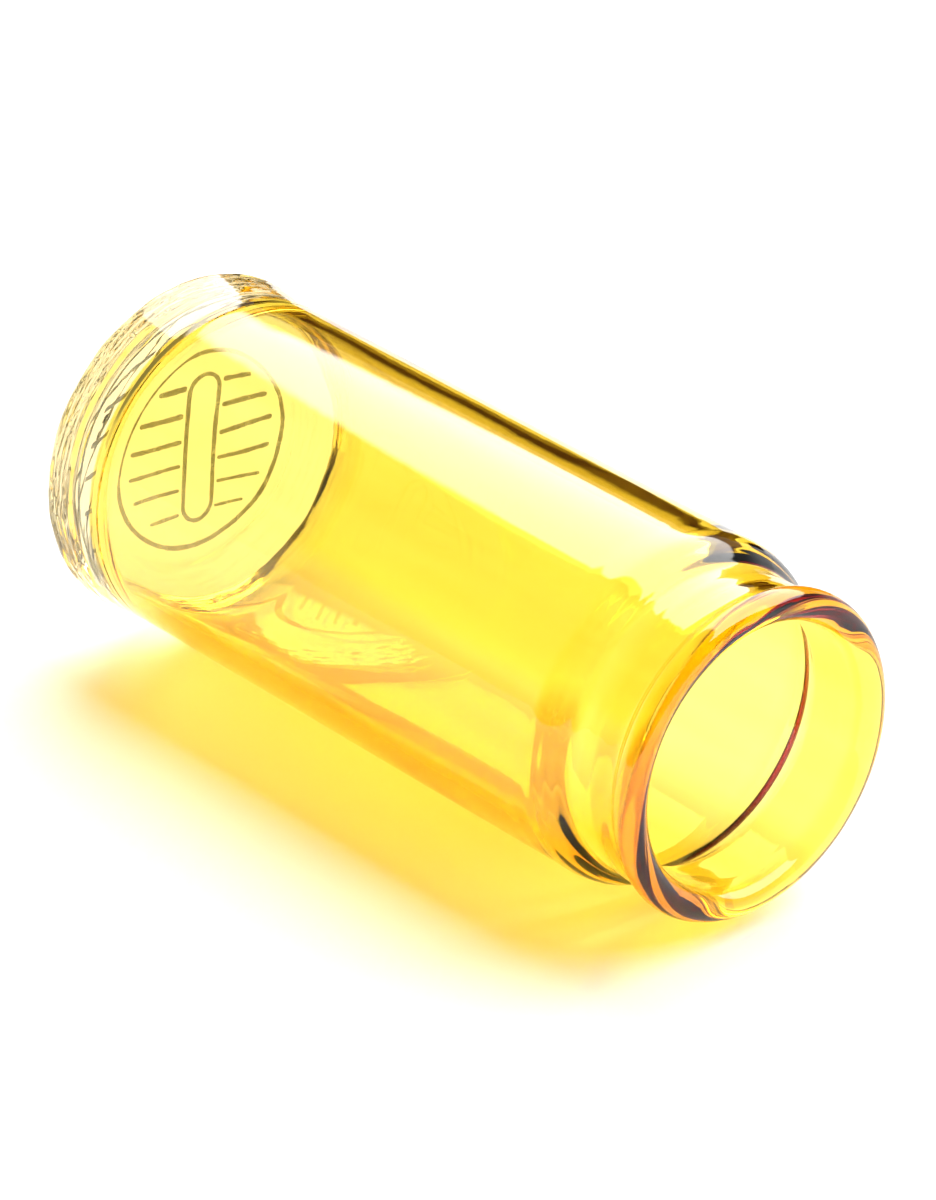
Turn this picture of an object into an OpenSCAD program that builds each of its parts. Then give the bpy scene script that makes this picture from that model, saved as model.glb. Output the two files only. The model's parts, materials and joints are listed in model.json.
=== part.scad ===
// Bottle-style guitar slide, lying on its side along X with the mouth at +X.
// Origin: below the middle of the length, on the surface that it lies on. +Z is up.
// Profiles are drawn as [radius, distance from the base] and revolved about the axis.

/* [Body] */
// Outer diameter of the straight body
body_d = 29; // [28.5:0.1:29.4]
// Overall length from the base to the mouth
overall_l = 69.3; // [64:0.1:76]
// Thickness of the body wall
wall_t = 1.2; // [1:0.1:1.5]

/* [Neck and mouth] */
// Outer diameter of the neck groove
neck_d = 25.8; // [25.4:0.1:26.2]
// Diameter of the straight finger bore through the neck
bore_d = 22.1; // [21.5:0.1:22.4]
// Outer diameter of the rounded lip
lip_d = 27.36; // [27:0.02:27.8]
// Distance from the mouth back to the start of the shoulder
shoulder_from_mouth = 10.9; // [10.6:0.1:11.4]
// Distance from the mouth back to the inner end of the finger bore
bore_end_from_mouth = 5.6; // [5.4:0.1:6.2]
// Radius of the outer shoulder
shoulder_r = 4; // [3.6:0.1:4.4]
// Radius of the hollow between shoulder and neck
groove_r = 1; // [0.8:0.1:1.2]
// Radius of the hollow between neck and lip
lip_groove_r = 0.8; // [0.6:0.1:0.9]
// Radius of the rounded inner end of the finger bore
bore_edge_r = 1.1; // [0.9:0.1:1.2]
// Steepest slope of the inner shoulder, in degrees
inner_slope = 38; // [36:1:42]

/* [Base] */
// Largest diameter, at the flared heel
heel_d = 29.8; // [29.6:0.1:30.2]
// Height of the seam between the base and the tube, on the outside
seam_h = 6.4; // [6:0.1:7]
// Thickness of the base at the floor of the hollow
floor_h = 4.4; // [4:0.1:4.8]
// Diameter of the flat floor of the hollow
floor_d = 24.8; // [24.6:0.1:25]
// Radius of the corner between the floor and the wall
floor_r = 0.15; // [0.1:0.05:0.2]
// Slope at which the wall thickens towards that corner, in degrees
flare_slope = 25; // [24:1:30]
// Radius of the bottom edge
edge_r = 0.5; // [0.3:0.1:0.7]
// Diameter of the shallow recess in the bottom
recess_d = 20.4; // [20.2:0.1:21]
// Depth of the recess
recess_h = 0.25; // [0.2:0.05:0.4]
// Width of the soft slope round the recess
recess_slope = 2; // [1.6:0.1:2.2]

/* [Printed mark] */
// Thickness of the print
ink_h = 0.12; // [0.1:0.01:0.15]
// Mean diameter of the ring
ring_d = 17.4; // [16:0.1:17.6]
// Line width of the ring and of the bar
line_w = 0.3; // [0.2:0.05:0.4]
// Width of the thickest string
string_w = 0.42; // [0.3:0.01:0.5]
// Change of width from one string to the next
string_step = 0.04; // [0:0.01:0.05]
// Distance between strings
string_pitch = 2.3; // [2:0.1:2.4]
// Diameter of the field that the strings fill
field_d = 15; // [14:0.1:15.5]
// Length of the bar that crosses the strings
bar_l = 13.6; // [13:0.1:14]
// Width of the bar
bar_w = 3.4; // [3:0.1:4]
// Clear space round the bar
bar_gap = 0.35; // [0.2:0.05:0.5]
// Turn of the mark about the axis, in degrees
mark_turn = -6; // [-20:1:20]

/* [Hidden] */
$fn = 128;
arc_steps = 10;
strings = 6;

body_r = body_d / 2;
inner_r = body_r - wall_t;
neck_r = neck_d / 2;
bore_r = bore_d / 2;
lip_r = lip_d / 2;
heel_r = heel_d / 2;
recess_r = recess_d / 2;

// Outer shoulder: a round shoulder that runs into a hollow at the neck
shoulder_t = overall_l - shoulder_from_mouth;
shoulder_a = acos(1 - (body_r - neck_r) / (shoulder_r + groove_r));
groove_t = shoulder_t + (shoulder_r + groove_r) * sin(shoulder_a);

// Lip: a bead as thick as the ring between the bore and the lip diameter
bead_r = (lip_r - bore_r) / 2;
bead_t = overall_l - bead_r;
bead_a = acos(1 - (lip_r - neck_r) / (bead_r + lip_groove_r));
lip_groove_t = bead_t - (bead_r + lip_groove_r) * sin(bead_a);

// Inner shoulder: from the bore out to the body's inner wall
bore_t = overall_l - bore_end_from_mouth;
inner_shoulder_r = (inner_r - bore_r) / (1 - cos(inner_slope)) - bore_edge_r;
inner_shoulder_t = bore_t - (bore_edge_r + inner_shoulder_r) * sin(inner_slope);

// Wall: it thickens inwards on a long arc just above the floor, down to a corner of three chords
corner_r = floor_d / 2;
flare_r = (inner_r - corner_r - floor_r * cos(flare_slope)) / (1 - cos(flare_slope));
flare_t = floor_h + floor_r + (flare_r - floor_r) * sin(flare_slope);
corner_turn = (90 - flare_slope) / 3;

// Heel: a long hollow flare from the seam down to the bottom edge
heel_h = seam_h - edge_r;
heel_w = heel_r - body_r;
heel_arc_r = (pow(heel_h, 2) + pow(edge_r - heel_w, 2) - pow(edge_r, 2)) / (2 * heel_w);
heel_a = asin(heel_h / (heel_arc_r + edge_r));

// Recess: its soft slope is an S of two equal arcs
recess_a = 2 * atan(recess_h / recess_slope);
recess_arc_r = recess_slope / 2 / sin(recess_a);

// Foot: the tube's rounded end, sunk in the base from the seam to the corner of the floor
foot_w = body_r - corner_r;
foot_r = (pow(foot_w, 2) + pow(seam_h - floor_h, 2)) / (2 * foot_w);
foot_a = 90 + asin((body_r - foot_r - corner_r) / foot_r);

// Points along an arc about [r, t], from angle a0 to angle a1
function arc(r, t, rad, a0, a1, n = arc_steps) =
    [for (i = [0:n]) let (a = a0 + (a1 - a0) * i / n) [r + rad * cos(a), t + rad * sin(a)]];

// The foot's section, from the corner of the floor out to the seam
foot = arc(body_r - foot_r, seam_h, foot_r, -foot_a, 0);

// Lays a shape drawn up the Z axis along X, with its foot at the base end
module lie_down() {
    translate([-overall_l / 2, 0, heel_r])
        rotate([0, 90, 0])
            children();
}

// Puts a flat outline in the recess of the bottom, as thick as the print
module print_layer() {
    lie_down()
        translate([0, 0, recess_h - ink_h])
            rotate([0, 0, mark_turn])
                linear_extrude(ink_h)
                    children();
}

// Outline of a bar with round ends, grown by a margin
module bar_outline(margin = 0) {
    half = (bar_l - bar_w) / 2;
    square([2 * half, bar_w + 2 * margin], center = true);
    for (side = [-1, 1])
        translate([side * half, 0])
            circle(d = bar_w + 2 * margin);
}

module glass_tube() {
    profile = concat(
        foot,
        arc(body_r - shoulder_r, shoulder_t, shoulder_r, 0, shoulder_a),
        arc(neck_r + groove_r, groove_t, groove_r, 180 + shoulder_a, 180),
        arc(neck_r + lip_groove_r, lip_groove_t, lip_groove_r, 180, 180 - bead_a),
        arc(lip_r - bead_r, bead_t, bead_r, -bead_a, 180, 3 * arc_steps),
        arc(bore_r + bore_edge_r, bore_t, bore_edge_r, 180, 180 + inner_slope),
        arc(inner_r - inner_shoulder_r, inner_shoulder_t, inner_shoulder_r, inner_slope, 0),
        arc(inner_r - flare_r, flare_t, flare_r, 0, -flare_slope),
        arc(corner_r, floor_h + floor_r, floor_r, -flare_slope - corner_turn, corner_turn - 90, 1)
    );
    color([0.98, 0.8, 0.12, 0.7])
        lie_down()
            rotate_extrude()
                polygon(profile);
}

module glass_base() {
    profile = concat(
        [[0, recess_h]],
        arc(recess_r - recess_slope / 2, recess_h - recess_arc_r, recess_arc_r, 90, 90 - recess_a),
        arc(recess_r + recess_slope / 2, recess_arc_r, recess_arc_r, 270 - recess_a, 270),
        arc(heel_r - edge_r, edge_r, edge_r, -90, heel_a),
        arc(body_r + heel_arc_r, seam_h, heel_arc_r, 180 + heel_a, 180 + heel_a / arc_steps, arc_steps - 1),
        [for (i = [arc_steps:-1:0]) foot[i]],
        [[0, floor_h]]
    );
    color([0.93, 0.95, 0.9, 0.5])
        lie_down()
            rotate_extrude()
                polygon(profile);
}

module print_ring() {
    color([0.36, 0.36, 0.3])
        print_layer()
            difference() {
                circle(d = ring_d + line_w);
                circle(d = ring_d - line_w);
            }
}

// Six strings of falling thickness, broken where the bar crosses them
module print_strings() {
    color([0.36, 0.36, 0.3])
        print_layer()
            difference() {
                intersection() {
                    circle(d = field_d);
                    for (i = [0:strings - 1])
                        translate([(i - (strings - 1) / 2) * string_pitch, 0])
                            square([string_w - i * string_step, field_d], center = true);
                }
                bar_outline(bar_gap);
            }
}

module print_bar() {
    color([0.36, 0.36, 0.3])
        print_layer()
            difference() {
                bar_outline();
                bar_outline(-line_w);
            }
}

glass_tube();
glass_base();
print_ring();
print_strings();
print_bar();
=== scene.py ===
import json
import math

import bmesh
import bpy
from mathutils import Matrix, Vector, noise


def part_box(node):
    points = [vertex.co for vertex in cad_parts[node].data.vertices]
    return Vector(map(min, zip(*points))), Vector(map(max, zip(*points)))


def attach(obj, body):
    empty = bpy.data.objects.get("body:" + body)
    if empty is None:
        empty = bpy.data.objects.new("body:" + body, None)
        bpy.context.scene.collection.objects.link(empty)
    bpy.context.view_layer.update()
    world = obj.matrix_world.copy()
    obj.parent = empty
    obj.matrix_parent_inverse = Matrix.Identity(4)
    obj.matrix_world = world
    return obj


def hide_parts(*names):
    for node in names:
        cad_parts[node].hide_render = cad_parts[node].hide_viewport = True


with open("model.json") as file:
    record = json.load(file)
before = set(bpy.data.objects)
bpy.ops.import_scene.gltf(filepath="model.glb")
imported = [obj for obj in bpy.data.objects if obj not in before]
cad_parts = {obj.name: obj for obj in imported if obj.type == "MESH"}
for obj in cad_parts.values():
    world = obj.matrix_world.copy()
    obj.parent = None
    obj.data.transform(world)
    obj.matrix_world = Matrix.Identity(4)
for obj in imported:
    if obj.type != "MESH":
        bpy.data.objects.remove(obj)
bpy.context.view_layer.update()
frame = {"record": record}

MM = 0.001
MOUNTS = {m["name"]: m for m in frame["record"]["mounts"]}

# ---------------------------------------------------------------- sizes
# The slide lies along X. Sizes are in millimetres: r is the distance from its axis, and t the
# distance along it from the bottom of the base.
mouth_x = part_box("glass_tube")[1][0]
base_lo, base_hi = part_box("glass_base")
print_lo, print_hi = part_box("print_ring")

BASE_X = base_lo[0]
AXIS_Z = (base_lo[2] + base_hi[2]) / 2
LENGTH = (mouth_x - BASE_X) / MM
BODY_R = MOUNTS["body_outside"]["dims"]["r_mm"]
BORE_R = MOUNTS["finger_bore"]["dims"]["r_mm"]
HEEL_R = (base_hi[2] - base_lo[2]) / 2 / MM
RING_R = (print_hi[2] - print_lo[2]) / 2 / MM
RECESS_T = (print_hi[0] - BASE_X) / MM

WALL = 1.2
NECK_R = 12.9
LIP_R = 13.68
SHOULDER_FROM_MOUTH = 10.9
BORE_END_FROM_MOUTH = 5.6
SHOULDER_FILLET = 4.0
GROOVE_FILLET = 1.0
LIP_FILLET = 0.8
BORE_EDGE_FILLET = 1.1
INNER_SLOPE = 38
SEAM_T = 6.4
FLOOR_T = 4.4
FLOOR_FILLET = 0.15
CORNER_R = 12.4
CORNER_END = -85
INNER_FLARE = 25
EDGE_FILLET = 0.5
RECESS_R = 10.2
RECESS_SLOPE = 2.0
SEAM_GAP = 0.004
FOOT_WIDTH = BODY_R - CORNER_R
FOOT_R = (FOOT_WIDTH**2 + (SEAM_T - FLOOR_T) ** 2) / (2 * FOOT_WIDTH)

# Relief of the base: ripples that run round it
FOOT_RELIEF = 0.07
SIDE_RELIEF = 0.008
STREAK_LENGTH = 2.6
STREAK_WIDTH = 0.5
FINE_STREAKS = 0.5
FINE_SHORTER = 2.3
FINE_NARROWER = 2.1
FINE_SHIFT = Vector((7, 3, 0))
STREAK_FADE = 1
# Relief of the tube: slow waves, which start above the seam, and marks round its neck and lip
BODY_RELIEF = 0.03
WAVE_WIDTH = 6
WAVE_LENGTH = 16
WAVE_START = SEAM_T + 2
WAVE_FADE = 4
NECK_RELIEF = 0.065
MARK_LENGTH = 16
MARK_WIDTH = 0.8
MARK_SHIFT = Vector((5, 0, 0))
MARK_START = LENGTH - 15
MARK_FADE = 5
LIP_FADE = 1.5

# The printed mark: a ring round six strings, with the outline of a bar across them
LINE_W = 0.36
STRINGS = 6
STRING_W = 0.46
STRING_STEP = 0.04
STRING_PITCH = 2.3
FIELD_R = 7.5
BAR_L = 13.6
BAR_W = 3.4
BAR_GAP = 0.35
MARK_TURN = -6
INK_LOW = RECESS_T - 0.1
INK_HIGH = RECESS_T + 0.02
INK_WOBBLE = 0.25
INK_BLUNTNESS = 0.1
INK_GRAIN = 2.2
INK_STEP = 0.12

# Fineness of the meshes
SEGMENTS = 256
SHARP_ANGLE = 30
LONG_STEP = 0.5
ROUND_STEP = 0.16

# ---------------------------------------------------------------- camera
# Metres and degrees. At azimuth 0 the camera looks along +Y, and at 90 it looks into the mouth.
CAM_AIM = Vector((-0.0147, 0.0133, 0.0035))
CAM_DISTANCE = 0.5323
CAM_AZIMUTH = 49.07
CAM_ELEVATION = 28.85
CAM_LENS = 193.1
CAM_NEAR = 0.01
CAM_FAR = 20


def direction(azimuth, elevation):
    """A unit vector that points azimuth degrees round from +X and elevation degrees up."""
    a, e = math.radians(azimuth), math.radians(elevation)
    return Vector((math.cos(a) * math.cos(e), math.sin(a) * math.cos(e), math.sin(e)))


def make_camera():
    data = bpy.data.cameras.new("camera")
    data.lens = CAM_LENS
    data.clip_start = CAM_NEAR
    data.clip_end = CAM_FAR
    camera = bpy.data.objects.new("camera", data)
    back = direction(CAM_AZIMUTH - 90, CAM_ELEVATION)
    camera.location = CAM_AIM + back * CAM_DISTANCE
    camera.rotation_euler = (-back).to_track_quat("-Z", "Y").to_euler()
    bpy.context.collection.objects.link(camera)
    bpy.context.scene.camera = camera


# ---------------------------------------------------------------- shapes
def arc(r, t, radius, start, end):
    """Points [radius, t] along an arc about (r, t), from start to end degrees."""
    count = max(4, math.ceil(abs(math.radians(end - start)) * radius / ROUND_STEP))
    angles = [math.radians(start + (end - start) * i / count) for i in range(count + 1)]
    return [(r + radius * math.cos(a), t + radius * math.sin(a)) for a in angles]


def line(start, end, step=LONG_STEP):
    """Points along a straight line, without its two ends."""
    count = max(1, round(math.dist(start, end) / step))
    return [
        tuple(p + (q - p) * i / count for p, q in zip(start, end))
        for i in range(1, count)
    ]


def joined(*runs):
    """One list of points from runs of points, with a straight line across each gap."""
    points = list(runs[0])
    for run in runs[1:]:
        if math.dist(points[-1], run[0]) > LONG_STEP:
            points += line(points[-1], run[0])
        points += [p for p in run if math.dist(points[-1], p) > 1e-6]
    return points


def foot_profile(shift):
    """The tube's rounded end, from the corner of the floor out to the seam, moved by shift."""
    turn = 90 + math.degrees(math.asin((FOOT_WIDTH - FOOT_R) / FOOT_R))
    return arc(BODY_R - FOOT_R, SEAM_T + shift, FOOT_R, -turn, 0)


def tube_profile():
    """The amber tube's closed section, round the foot, up the outside, over the lip and down the inside."""
    inner_r = BODY_R - WALL
    shoulder_t = LENGTH - SHOULDER_FROM_MOUTH
    turn = math.degrees(math.acos(1 - (BODY_R - NECK_R) / (SHOULDER_FILLET + GROOVE_FILLET)))
    groove_t = shoulder_t + (SHOULDER_FILLET + GROOVE_FILLET) * math.sin(math.radians(turn))
    bead = (LIP_R - BORE_R) / 2
    bead_t = LENGTH - bead
    lift = math.degrees(math.acos(1 - (LIP_R - NECK_R) / (bead + LIP_FILLET)))
    lip_t = bead_t - (bead + LIP_FILLET) * math.sin(math.radians(lift))
    bore_t = LENGTH - BORE_END_FROM_MOUTH
    slope = math.radians(INNER_SLOPE)
    inner_fillet = (inner_r - BORE_R) / (1 - math.cos(slope)) - BORE_EDGE_FILLET
    inner_t = bore_t - (BORE_EDGE_FILLET + inner_fillet) * math.sin(slope)
    flare = math.radians(INNER_FLARE)
    flare_r = (inner_r - CORNER_R - FLOOR_FILLET * math.cos(flare)) / (1 - math.cos(flare))
    flare_t = FLOOR_T + FLOOR_FILLET + (flare_r - FLOOR_FILLET) * math.sin(flare)
    return joined(
        foot_profile(SEAM_GAP),
        arc(BODY_R - SHOULDER_FILLET, shoulder_t, SHOULDER_FILLET, 0, turn),
        arc(NECK_R + GROOVE_FILLET, groove_t, GROOVE_FILLET, 180 + turn, 180),
        arc(NECK_R + LIP_FILLET, lip_t, LIP_FILLET, 180, 180 - lift),
        arc(LIP_R - bead, bead_t, bead, -lift, 180),
        arc(BORE_R + BORE_EDGE_FILLET, bore_t, BORE_EDGE_FILLET, 180, 180 + INNER_SLOPE),
        arc(inner_r - inner_fillet, inner_t, inner_fillet, INNER_SLOPE, 0),
        arc(inner_r - flare_r, flare_t, flare_r, 0, -INNER_FLARE),
        arc(CORNER_R, FLOOR_T + FLOOR_FILLET, FLOOR_FILLET, -INNER_FLARE, CORNER_END),
    )


def base_profile():
    """The clear base's section, from the middle of the bottom round to the middle of the floor."""
    flare_h = SEAM_T - EDGE_FILLET
    flare_w = HEEL_R - BODY_R
    flare_r = (flare_h**2 + (EDGE_FILLET - flare_w) ** 2 - EDGE_FILLET**2) / (2 * flare_w)
    flare_a = math.degrees(math.asin(flare_h / (flare_r + EDGE_FILLET)))
    dip = math.degrees(2 * math.atan(RECESS_T / RECESS_SLOPE))
    swell = RECESS_SLOPE / 2 / math.sin(math.radians(dip))
    return joined(
        [(0, RECESS_T)],
        arc(RECESS_R - RECESS_SLOPE / 2, RECESS_T - swell, swell, 90, 90 - dip),
        arc(RECESS_R + RECESS_SLOPE / 2, swell, swell, 270 - dip, 270),
        line((RECESS_R + RECESS_SLOPE / 2, 0), (HEEL_R - EDGE_FILLET, 0), ROUND_STEP),
        arc(HEEL_R - EDGE_FILLET, EDGE_FILLET, EDGE_FILLET, -90, flare_a),
        arc(BODY_R + flare_r, SEAM_T, flare_r, 180 + flare_a, 180)[:-1],
        foot_profile(0)[::-1],
        [(0, FLOOR_T)],
    )


def placed(r, t, angle):
    """The place in the frame, in metres, of the point at radius r, angle about the axis and distance t."""
    return Vector((
        BASE_X + t * MM,
        r * MM * math.cos(angle),
        AXIS_Z + r * MM * math.sin(angle),
    ))


def eased(value, start, end):
    """0 before start and 1 after end, with a smooth rise between them."""
    share = min(1, max(0, (value - start) / (end - start)))
    return share * share * (3 - 2 * share)


def relief(r, t, angle):
    """How far the worked surface stands off its true section at that place, in millimetres."""
    place = Vector((r * math.cos(angle), r * math.sin(angle), 0))
    if r > BODY_R or t < EDGE_FILLET and r > RECESS_R:
        along = r - t
        depth = eased(t, SEAM_T, SEAM_T - STREAK_FADE) * eased(r, RECESS_R, RECESS_R + STREAK_FADE)
        depth *= SIDE_RELIEF + (FOOT_RELIEF - SIDE_RELIEF) * eased(t, 2 * EDGE_FILLET, EDGE_FILLET)
        coarse = noise.noise(place / STREAK_LENGTH + Vector((0, 0, along / STREAK_WIDTH)))
        fine_place = place / STREAK_LENGTH * FINE_SHORTER + FINE_SHIFT
        fine = noise.noise(fine_place + Vector((0, 0, along / STREAK_WIDTH * FINE_NARROWER)))
        return depth * (coarse + FINE_STREAKS * fine)
    if t > WAVE_START:
        depth = BODY_RELIEF * eased(t, WAVE_START, WAVE_START + WAVE_FADE)
        waves = depth * noise.noise(place / WAVE_WIDTH + Vector((0, 0, t / WAVE_LENGTH)))
        neck = eased(t, MARK_START, MARK_START + MARK_FADE) * eased(t, LENGTH, LENGTH - LIP_FADE)
        marks = noise.noise(place / MARK_LENGTH + MARK_SHIFT + Vector((0, 0, t / MARK_WIDTH)))
        return waves + NECK_RELIEF * neck * marks
    return 0


def facing(profile, i):
    """The unit normal [radius, t] of a section at its point i."""
    before = profile[max(i - 1, 0)]
    after = profile[min(i + 1, len(profile) - 1)]
    run = Vector((after[0] - before[0], after[1] - before[1])).normalized()
    return run.y, -run.x


def turned(name, profile, closed):
    """A smooth mesh from a section turned about the slide's axis. An open section ends on the axis.
    Its fused attribute is 1 on the faces of the foot, where the two glasses meet."""
    bm = bmesh.new()
    fused = bm.faces.layers.float.new("fused")
    rings = []
    for i, (r, t) in enumerate(profile):
        if r < 1e-9:
            rings.append([bm.verts.new(placed(0, t, 0))])
            continue
        out_r, out_t = facing(profile, i)
        ring = []
        for k in range(SEGMENTS):
            angle = 2 * math.pi * k / SEGMENTS
            lift = relief(r, t, angle)
            ring.append(bm.verts.new(placed(r + lift * out_r, t + lift * out_t, angle)))
        rings.append(ring)
    pairs = list(zip(rings, rings[1:]))
    if closed:
        pairs.append((rings[-1], rings[0]))
    for low, high in pairs:
        for k in range(SEGMENTS):
            n = (k + 1) % SEGMENTS
            corners = [low[k % len(low)], low[n % len(low)], high[n % len(high)], high[k % len(high)]]
            face = bm.faces.new(list(dict.fromkeys(corners)))
            face[fused] = float(on_foot(low, high))
    bmesh.ops.recalc_face_normals(bm, faces=bm.faces)
    return finished(name, bm)


def turn_angles(radius):
    """Angles once round a circle of that radius, an ink step apart."""
    count = round(2 * math.pi * radius / INK_STEP)
    return [2 * math.pi * i / count for i in range(count)]


def on_foot(*rings):
    """Whether rings of points all lie on the foot, within twice the gap at the seam."""
    near = 2 * SEAM_GAP
    for ring in rings:
        t = (ring[0].co.x - BASE_X) / MM
        r = math.hypot(ring[0].co.y, ring[0].co.z - AXIS_Z) / MM
        if t > SEAM_T + near:
            return False
        if abs(math.dist((r, t), (BODY_R - FOOT_R, SEAM_T)) - FOOT_R) > near:
            return False
    return True


def printed(name, strokes):
    """Ink strokes in the recess of the bottom. A stroke is (points, width, closed), and its points
    lie in the plane of the print as (across the strings, along the strings) from the axis. The ends
    of an open stroke are rounded."""
    bm = bmesh.new()
    tilt = Matrix.Rotation(math.radians(MARK_TURN), 2)
    for points, width, closed in strokes:
        stations = []
        count = len(points)
        for i, point in enumerate(points):
            here = Vector(point)
            before = Vector(points[i - 1] if closed or i else points[i])
            after = Vector(points[(i + 1) % count] if closed or i < count - 1 else points[i])
            run = (after - before).normalized()
            side = Vector((-run.y, run.x))
            half = width / 2 * (1 + INK_WOBBLE * noise.noise(Vector((*here, width)) * INK_GRAIN))
            if not closed:
                end = min((here - Vector(points[0])).length, (here - Vector(points[-1])).length)
                share = min(1, (end + INK_BLUNTNESS * width) * 2 / width)
                half *= math.sqrt(1 - (1 - share) ** 2)
            corners = []
            for sign, t in ((1, INK_LOW), (-1, INK_LOW), (-1, INK_HIGH), (1, INK_HIGH)):
                flat = tilt @ (here + side * half * sign)
                corners.append(bm.verts.new((BASE_X + t * MM, flat.y * MM, AXIS_Z - flat.x * MM)))
            stations.append(corners)
        pairs = list(zip(stations, stations[1:]))
        if closed:
            pairs.append((stations[-1], stations[0]))
        else:
            bm.faces.new(stations[0])
            bm.faces.new(stations[-1])
        for one, two in pairs:
            for k in range(4):
                bm.faces.new((one[k], one[k - 1], two[k - 1], two[k]))
    bmesh.ops.recalc_face_normals(bm, faces=bm.faces)
    return finished(name, bm)


def finished(name, bm):
    """A smooth-shaded object from a bmesh, linked to the scene."""
    mesh = bpy.data.meshes.new(name)
    bm.to_mesh(mesh)
    bm.free()
    mesh.shade_smooth()
    mesh.set_sharp_from_angle(angle=math.radians(SHARP_ANGLE))
    piece = bpy.data.objects.new(name, mesh)
    bpy.context.collection.objects.link(piece)
    return piece


# ---------------------------------------------------------------- materials
# Absorption is the coefficient for red, green and blue, per metre of glass, and a tint colours the
# light that passes a surface. Noise scales are per metre, and heights are in metres.
CLEAR_ABSORPTION = (3, 9, 28)
AMBER_ABSORPTION = (12, 75, 560)
ABSORPTION_DENSITY = 1400
AMBER_TINTS = (0.99, 0.9, 0.47), (0.97, 0.83, 0.36)
CLEAR_TINTS = (1, 1, 1), (0.96, 0.97, 0.93)
GLASS_IOR = 1.5
STREAK_SCALE = (30, 260, 260)
SMUDGE_SCALE = 160
SMUDGE_ROUGHNESS = 0.02
RIPPLE_SCALE = 420
RIPPLE_HEIGHT = 0.000003

INK_TINTS = (0.15, 0.17, 0.19), (0.36, 0.4, 0.43)
INK_ALPHA = 0.45, 0.85
INK_ROUGHNESS = 0.45, 0.75
PATCH_SCALE = 900
GRAIN_SCALE = 6000
GRAIN_STRENGTH = 0.3
GRAIN_HEIGHT = 0.00002
NOISE_RANGE = 0.3, 0.7


def node(tree, kind, **values):
    made = tree.nodes.new(kind)
    for key, value in values.items():
        setattr(made, key, value)
    return made


def math_node(tree, operation, a, b=None):
    made = node(tree, "ShaderNodeMath", operation=operation)
    for socket, value in zip(made.inputs, (a, b)):
        if value is None:
            continue
        if isinstance(value, (int, float)):
            socket.default_value = value
        else:
            tree.links.new(value, socket)
    return made.outputs[0]


def noise_texture(tree, place, scale, detail):
    """The value of a noise texture at a place."""
    texture = node(tree, "ShaderNodeTexNoise")
    texture.inputs["Scale"].default_value = scale
    texture.inputs["Detail"].default_value = detail
    tree.links.new(place, texture.inputs["Vector"])
    return texture.outputs["Fac"]


def mapped(tree, value, low, high):
    """A noise value, spread from its middle range to run from low to high."""
    spread = node(tree, "ShaderNodeMapRange")
    spread.inputs["From Min"].default_value = NOISE_RANGE[0]
    spread.inputs["From Max"].default_value = NOISE_RANGE[1]
    spread.inputs["To Min"].default_value = low
    spread.inputs["To Max"].default_value = high
    tree.links.new(value, spread.inputs["Value"])
    return spread.outputs["Result"]


def mixed(tree, factor, tints):
    """A colour that runs between two tints."""
    mix = node(tree, "ShaderNodeMix", data_type="RGBA")
    mix.inputs["A"].default_value = (*tints[0], 1)
    mix.inputs["B"].default_value = (*tints[1], 1)
    tree.links.new(factor, mix.inputs["Factor"])
    return mix.outputs["Result"]


def bumped(tree, height, strength, distance):
    """A normal that follows a height."""
    bump = node(tree, "ShaderNodeBump")
    bump.inputs["Strength"].default_value = strength
    bump.inputs["Distance"].default_value = distance
    tree.links.new(height, bump.inputs["Height"])
    return bump.outputs["Normal"]


def new_material(name):
    """A material with its node tree, its shader and the place on the object."""
    material = bpy.data.materials.new(name)
    material.use_nodes = True
    tree = material.node_tree
    place = node(tree, "ShaderNodeTexCoord").outputs["Object"]
    return material, tree, tree.nodes["Principled BSDF"].inputs, place


def glass(name, tints, absorption):
    """Clear glass with faint lengthwise streaks, smudges and ripples. It bends no light at the seam,
    where the two glasses are fused."""
    material, tree, shader, place = new_material(name)
    shader["Transmission Weight"].default_value = 1
    stretched = node(tree, "ShaderNodeMapping")
    stretched.inputs["Scale"].default_value = STREAK_SCALE
    tree.links.new(place, stretched.inputs["Vector"])
    streaks = noise_texture(tree, stretched.outputs["Vector"], 1, 2)
    tree.links.new(mixed(tree, mapped(tree, streaks, 0, 1), tints), shader["Base Color"])
    smudges = noise_texture(tree, place, SMUDGE_SCALE, 3)
    tree.links.new(mapped(tree, smudges, 0, SMUDGE_ROUGHNESS), shader["Roughness"])
    ripples = noise_texture(tree, place, RIPPLE_SCALE, 1)
    tree.links.new(bumped(tree, ripples, 1, RIPPLE_HEIGHT), shader["Normal"])
    fused = node(tree, "ShaderNodeAttribute", attribute_name="fused")
    step = math_node(tree, "MULTIPLY", fused.outputs["Fac"], GLASS_IOR - 1)
    shader["IOR"].default_value = GLASS_IOR
    tree.links.new(math_node(tree, "SUBTRACT", GLASS_IOR, step), shader["IOR"])
    volume = node(tree, "ShaderNodeVolumeAbsorption")
    left = [1 - s / ABSORPTION_DENSITY for s in absorption]
    volume.inputs["Color"].default_value = (*left, 1)
    volume.inputs["Density"].default_value = ABSORPTION_DENSITY
    tree.links.new(volume.outputs[0], tree.nodes["Material Output"].inputs["Volume"])
    return material


def ink():
    """Grey ink, thin enough in patches to let some light through."""
    material, tree, shader, place = new_material("ink")
    patches = noise_texture(tree, place, PATCH_SCALE, 3)
    tree.links.new(mixed(tree, patches, INK_TINTS), shader["Base Color"])
    tree.links.new(mapped(tree, patches, *INK_ALPHA), shader["Alpha"])
    tree.links.new(mapped(tree, patches, *INK_ROUGHNESS), shader["Roughness"])
    grain = noise_texture(tree, place, GRAIN_SCALE, 2)
    tree.links.new(bumped(tree, grain, GRAIN_STRENGTH, GRAIN_HEIGHT), shader["Normal"])
    return material


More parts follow.
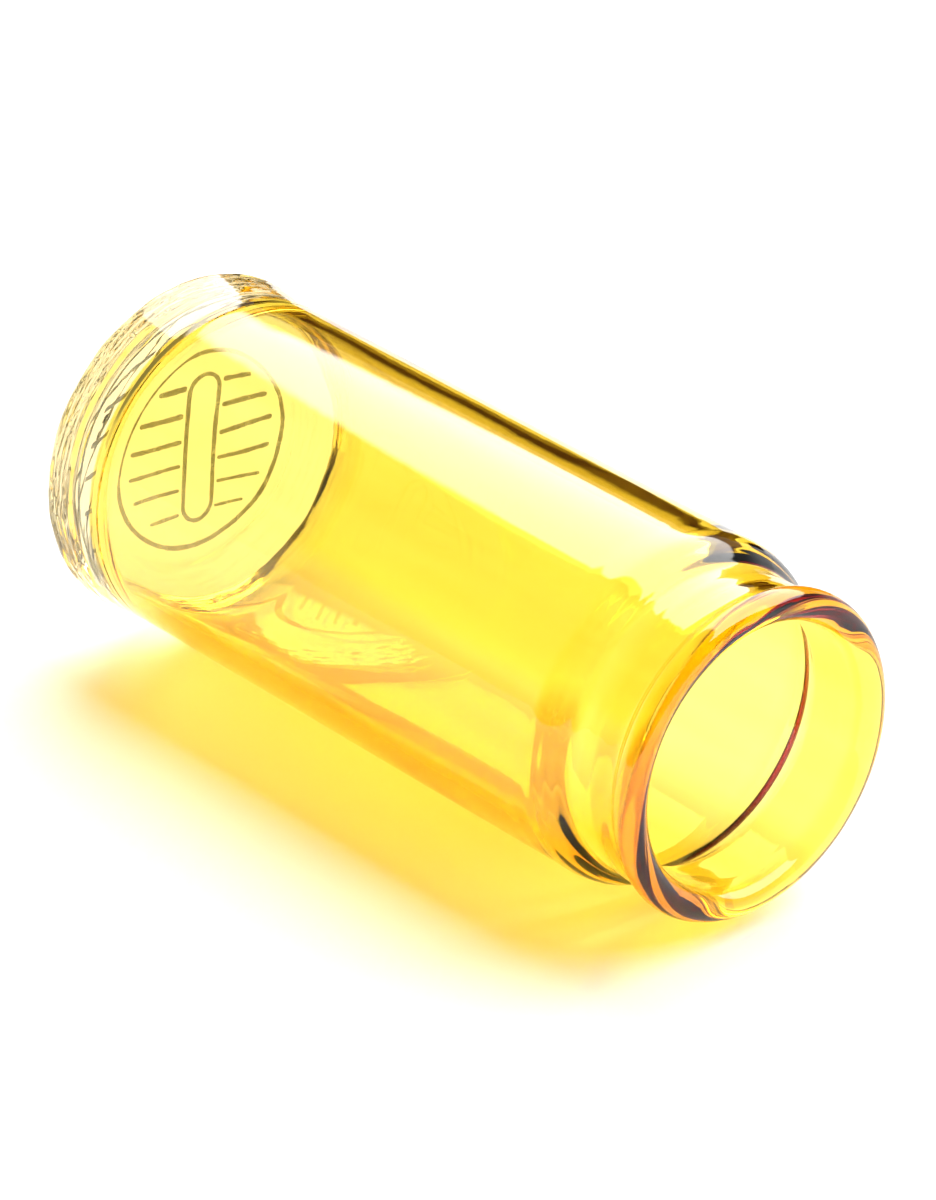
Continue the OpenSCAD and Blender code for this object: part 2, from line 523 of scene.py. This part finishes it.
# ---------------------------------------------------------------- stage
# Metres, and degrees round from +X and up. Light that the camera sees directly is plain white.
# The backdrop's edges are heights of a direction's unit vector, and the front's edge is how far
# that vector points to the camera's side.
FLOOR_SIZE = 12
FLOOR_ALBEDO = 0.65
SOFTBOX_AZIMUTH = 90
SOFTBOX_ELEVATION = 55
SOFTBOX_HALF_WIDTH = 46
SOFTBOX_HALF_HEIGHT = 31
SOFTBOX_RADIANCE = 6.3
SOFTBOX_EDGE = 0.03
AMBIENT = 0.3
BACKDROP = 1.0
BACKDROP_LOW = 0.1
BACKDROP_HIGH = 0.3
FRONT_LIGHT = 0.1
FRONT_EDGE = 0.4
LIGHT_MAP = 1024
FLAG_AZIMUTH = 132
FLAG_HALF_WIDTH = 22
FLAG_NEAR = 0.21
FLAG_FAR = 1.2
FLAG_ELEVATION = 16
FLAG_LIFT = 0.0002
FLAG_STEPS = 12
# The flag's faint warm emission: painted warm light, standing for light bounced off the amber glass
FLAG_PAINTED_GLOW = (0.05, 0.02, 0.01)


def make_floor():
    mesh = bpy.data.meshes.new("floor")
    h = FLOOR_SIZE / 2
    mesh.from_pydata([(-h, -h, 0), (h, -h, 0), (h, h, 0), (-h, h, 0)], [], [(0, 1, 2, 3)])
    floor = bpy.data.objects.new("floor", mesh)
    bpy.context.collection.objects.link(floor)
    material = bpy.data.materials.new("floor")
    material.use_nodes = True
    shader = material.node_tree.nodes["Principled BSDF"]
    shader.inputs["Base Color"].default_value = (FLOOR_ALBEDO, FLOOR_ALBEDO, FLOOR_ALBEDO, 1)
    shader.inputs["Roughness"].default_value = 1
    shader.inputs["Specular IOR Level"].default_value = 0
    mesh.materials.append(material)


def make_flag():
    """A dark sheet on the far side, which only the glass sees: it paints the glass's dark edges as painted
    dark reflections, and its faint warm emission is painted warm light, as if bounced off the amber glass,
    though it is no lamp.
    """
    top = FLAG_FAR * math.tan(math.radians(FLAG_ELEVATION))
    rows = [(FLAG_NEAR, FLAG_LIFT), (FLAG_FAR, FLAG_LIFT), (FLAG_FAR, top)]
    points = []
    faces = []
    for reach, height in rows:
        for i in range(FLAG_STEPS + 1):
            a = math.radians(FLAG_AZIMUTH + FLAG_HALF_WIDTH * (2 * i / FLAG_STEPS - 1))
            points.append((reach * math.cos(a), reach * math.sin(a), height))
    for row in range(len(rows) - 1):
        for i in range(FLAG_STEPS):
            k = row * (FLAG_STEPS + 1) + i
            faces.append((k, k + 1, k + FLAG_STEPS + 2, k + FLAG_STEPS + 1))
    mesh = bpy.data.meshes.new("flag")
    mesh.from_pydata(points, [], faces)
    flag = bpy.data.objects.new("flag", mesh)
    bpy.context.collection.objects.link(flag)
    material = bpy.data.materials.new("flag")
    material.use_nodes = True
    shader = material.node_tree.nodes["Principled BSDF"]
    shader.inputs["Base Color"].default_value = (0, 0, 0, 1)
    # Painted warm glow: the flag is no lamp, and its emission stands for warm light bounced off the amber
    # glass
    shader.inputs["Emission Color"].default_value = (*FLAG_PAINTED_GLOW, 1)
    shader.inputs["Emission Strength"].default_value = 1
    shader.inputs["Specular IOR Level"].default_value = 0
    shader.inputs["Roughness"].default_value = 1
    mesh.materials.append(material)
    flag.visible_camera = False
    flag.visible_diffuse = False
    flag.visible_shadow = False


def make_world():
    """A softbox in a dim room, with a bright backdrop low down on the far side."""
    world = bpy.data.worlds.new("studio")
    world.use_nodes = True
    bpy.context.scene.world = world
    tree = world.node_tree
    background = tree.nodes["Background"]
    place = node(tree, "ShaderNodeTexCoord")
    middle = direction(SOFTBOX_AZIMUTH, SOFTBOX_ELEVATION)
    across = direction(SOFTBOX_AZIMUTH + 90, 0)
    up = middle.cross(across)

    def along(axis):
        dot = node(tree, "ShaderNodeVectorMath", operation="DOT_PRODUCT")
        tree.links.new(place.outputs["Generated"], dot.inputs[0])
        dot.inputs[1].default_value = axis
        return dot.outputs["Value"]

    ahead = along(middle)
    inside = math_node(tree, "GREATER_THAN", ahead, 0.01)
    for axis, half in ((across, SOFTBOX_HALF_WIDTH), (up, SOFTBOX_HALF_HEIGHT)):
        ratio = math_node(tree, "ABSOLUTE", math_node(tree, "DIVIDE", along(axis), ahead))
        edge = math.tan(math.radians(half))
        ramp = node(tree, "ShaderNodeMapRange", interpolation_type="SMOOTHSTEP")
        tree.links.new(ratio, ramp.inputs["Value"])
        ramp.inputs["From Min"].default_value = edge + SOFTBOX_EDGE
        ramp.inputs["From Max"].default_value = edge - SOFTBOX_EDGE
        inside = math_node(tree, "MULTIPLY", inside, ramp.outputs[0])
    height = along(Vector((0, 0, 1)))
    low = node(tree, "ShaderNodeMapRange", interpolation_type="SMOOTHSTEP")
    tree.links.new(height, low.inputs["Value"])
    low.inputs["From Min"].default_value = BACKDROP_HIGH
    low.inputs["From Max"].default_value = BACKDROP_LOW
    low.inputs["To Min"].default_value = AMBIENT
    low.inputs["To Max"].default_value = BACKDROP
    behind = node(tree, "ShaderNodeMapRange", interpolation_type="SMOOTHSTEP")
    tree.links.new(along(direction(CAM_AZIMUTH - 90, 0)), behind.inputs["Value"])
    behind.inputs["From Min"].default_value = FRONT_EDGE
    behind.inputs["From Max"].default_value = 0
    behind.inputs["To Min"].default_value = FRONT_LIGHT
    room = math_node(tree, "MULTIPLY", low.outputs[0], behind.outputs[0])
    glow = math_node(tree, "ADD", math_node(tree, "MULTIPLY", inside, SOFTBOX_RADIANCE), room)
    path = node(tree, "ShaderNodeLightPath")
    seen = math_node(tree, "MAXIMUM", path.outputs["Is Camera Ray"], glow)
    tree.links.new(seen, background.inputs["Strength"])
    background.inputs["Color"].default_value = (1, 1, 1, 1)
    world.cycles.sampling_method = "MANUAL"
    world.cycles.sample_map_resolution = LIGHT_MAP


def set_light_paths():
    scene = bpy.context.scene
    scene.view_settings.view_transform = "Standard"
    scene.cycles.max_bounces = 24
    scene.cycles.transmission_bounces = 20
    scene.cycles.glossy_bounces = 12
    scene.cycles.diffuse_bounces = 3
    scene.cycles.blur_glossy = 0
    scene.cycles.sample_clamp_indirect = 0
    scene.cycles.use_denoising = True


# ---------------------------------------------------------------- the slide
make_camera()
tube = turned("amber_glass_tube", tube_profile(), closed=True)
tube.data.materials.append(glass("amber_glass", AMBER_TINTS, AMBER_ABSORPTION))
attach(tube, "root")
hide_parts("glass_tube")

base = turned("clear_glass_base", base_profile(), closed=False)
base.data.materials.append(glass("clear_glass", CLEAR_TINTS, CLEAR_ABSORPTION))
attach(base, "root")
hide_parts("glass_base")

ring_r = RING_R - LINE_W / 2
ring = [(ring_r * math.cos(a), ring_r * math.sin(a)) for a in turn_angles(ring_r)]
strings = []
for i in range(STRINGS):
    across = (i - (STRINGS - 1) / 2) * STRING_PITCH
    out = math.sqrt(FIELD_R**2 - across**2)
    past_bar = max(0, abs(across) - (BAR_L - BAR_W) / 2)
    clear = math.sqrt((BAR_W / 2 + BAR_GAP) ** 2 - past_bar**2)
    for side in (-1, 1):
        ends = (across, side * clear), (across, side * out)
        strings.append(([ends[0], *line(*ends, INK_STEP), ends[1]], STRING_W - i * STRING_STEP, False))
bar = joined(
    arc((BAR_L - BAR_W) / 2, 0, (BAR_W - LINE_W) / 2, -90, 90),
    arc((BAR_W - BAR_L) / 2, 0, (BAR_W - LINE_W) / 2, 90, 270),
)
ink_material = ink()
for name, node_name, strokes in (
    ("ink_ring", "print_ring", [(ring, LINE_W, True)]),
    ("ink_strings", "print_strings", strings),
    ("ink_bar", "print_bar", [(bar, LINE_W, True)]),
):
    piece = printed(name, strokes)
    piece.data.materials.append(ink_material)
    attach(piece, "root")
    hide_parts(node_name)

make_floor()
make_flag()
make_world()
set_light_paths()
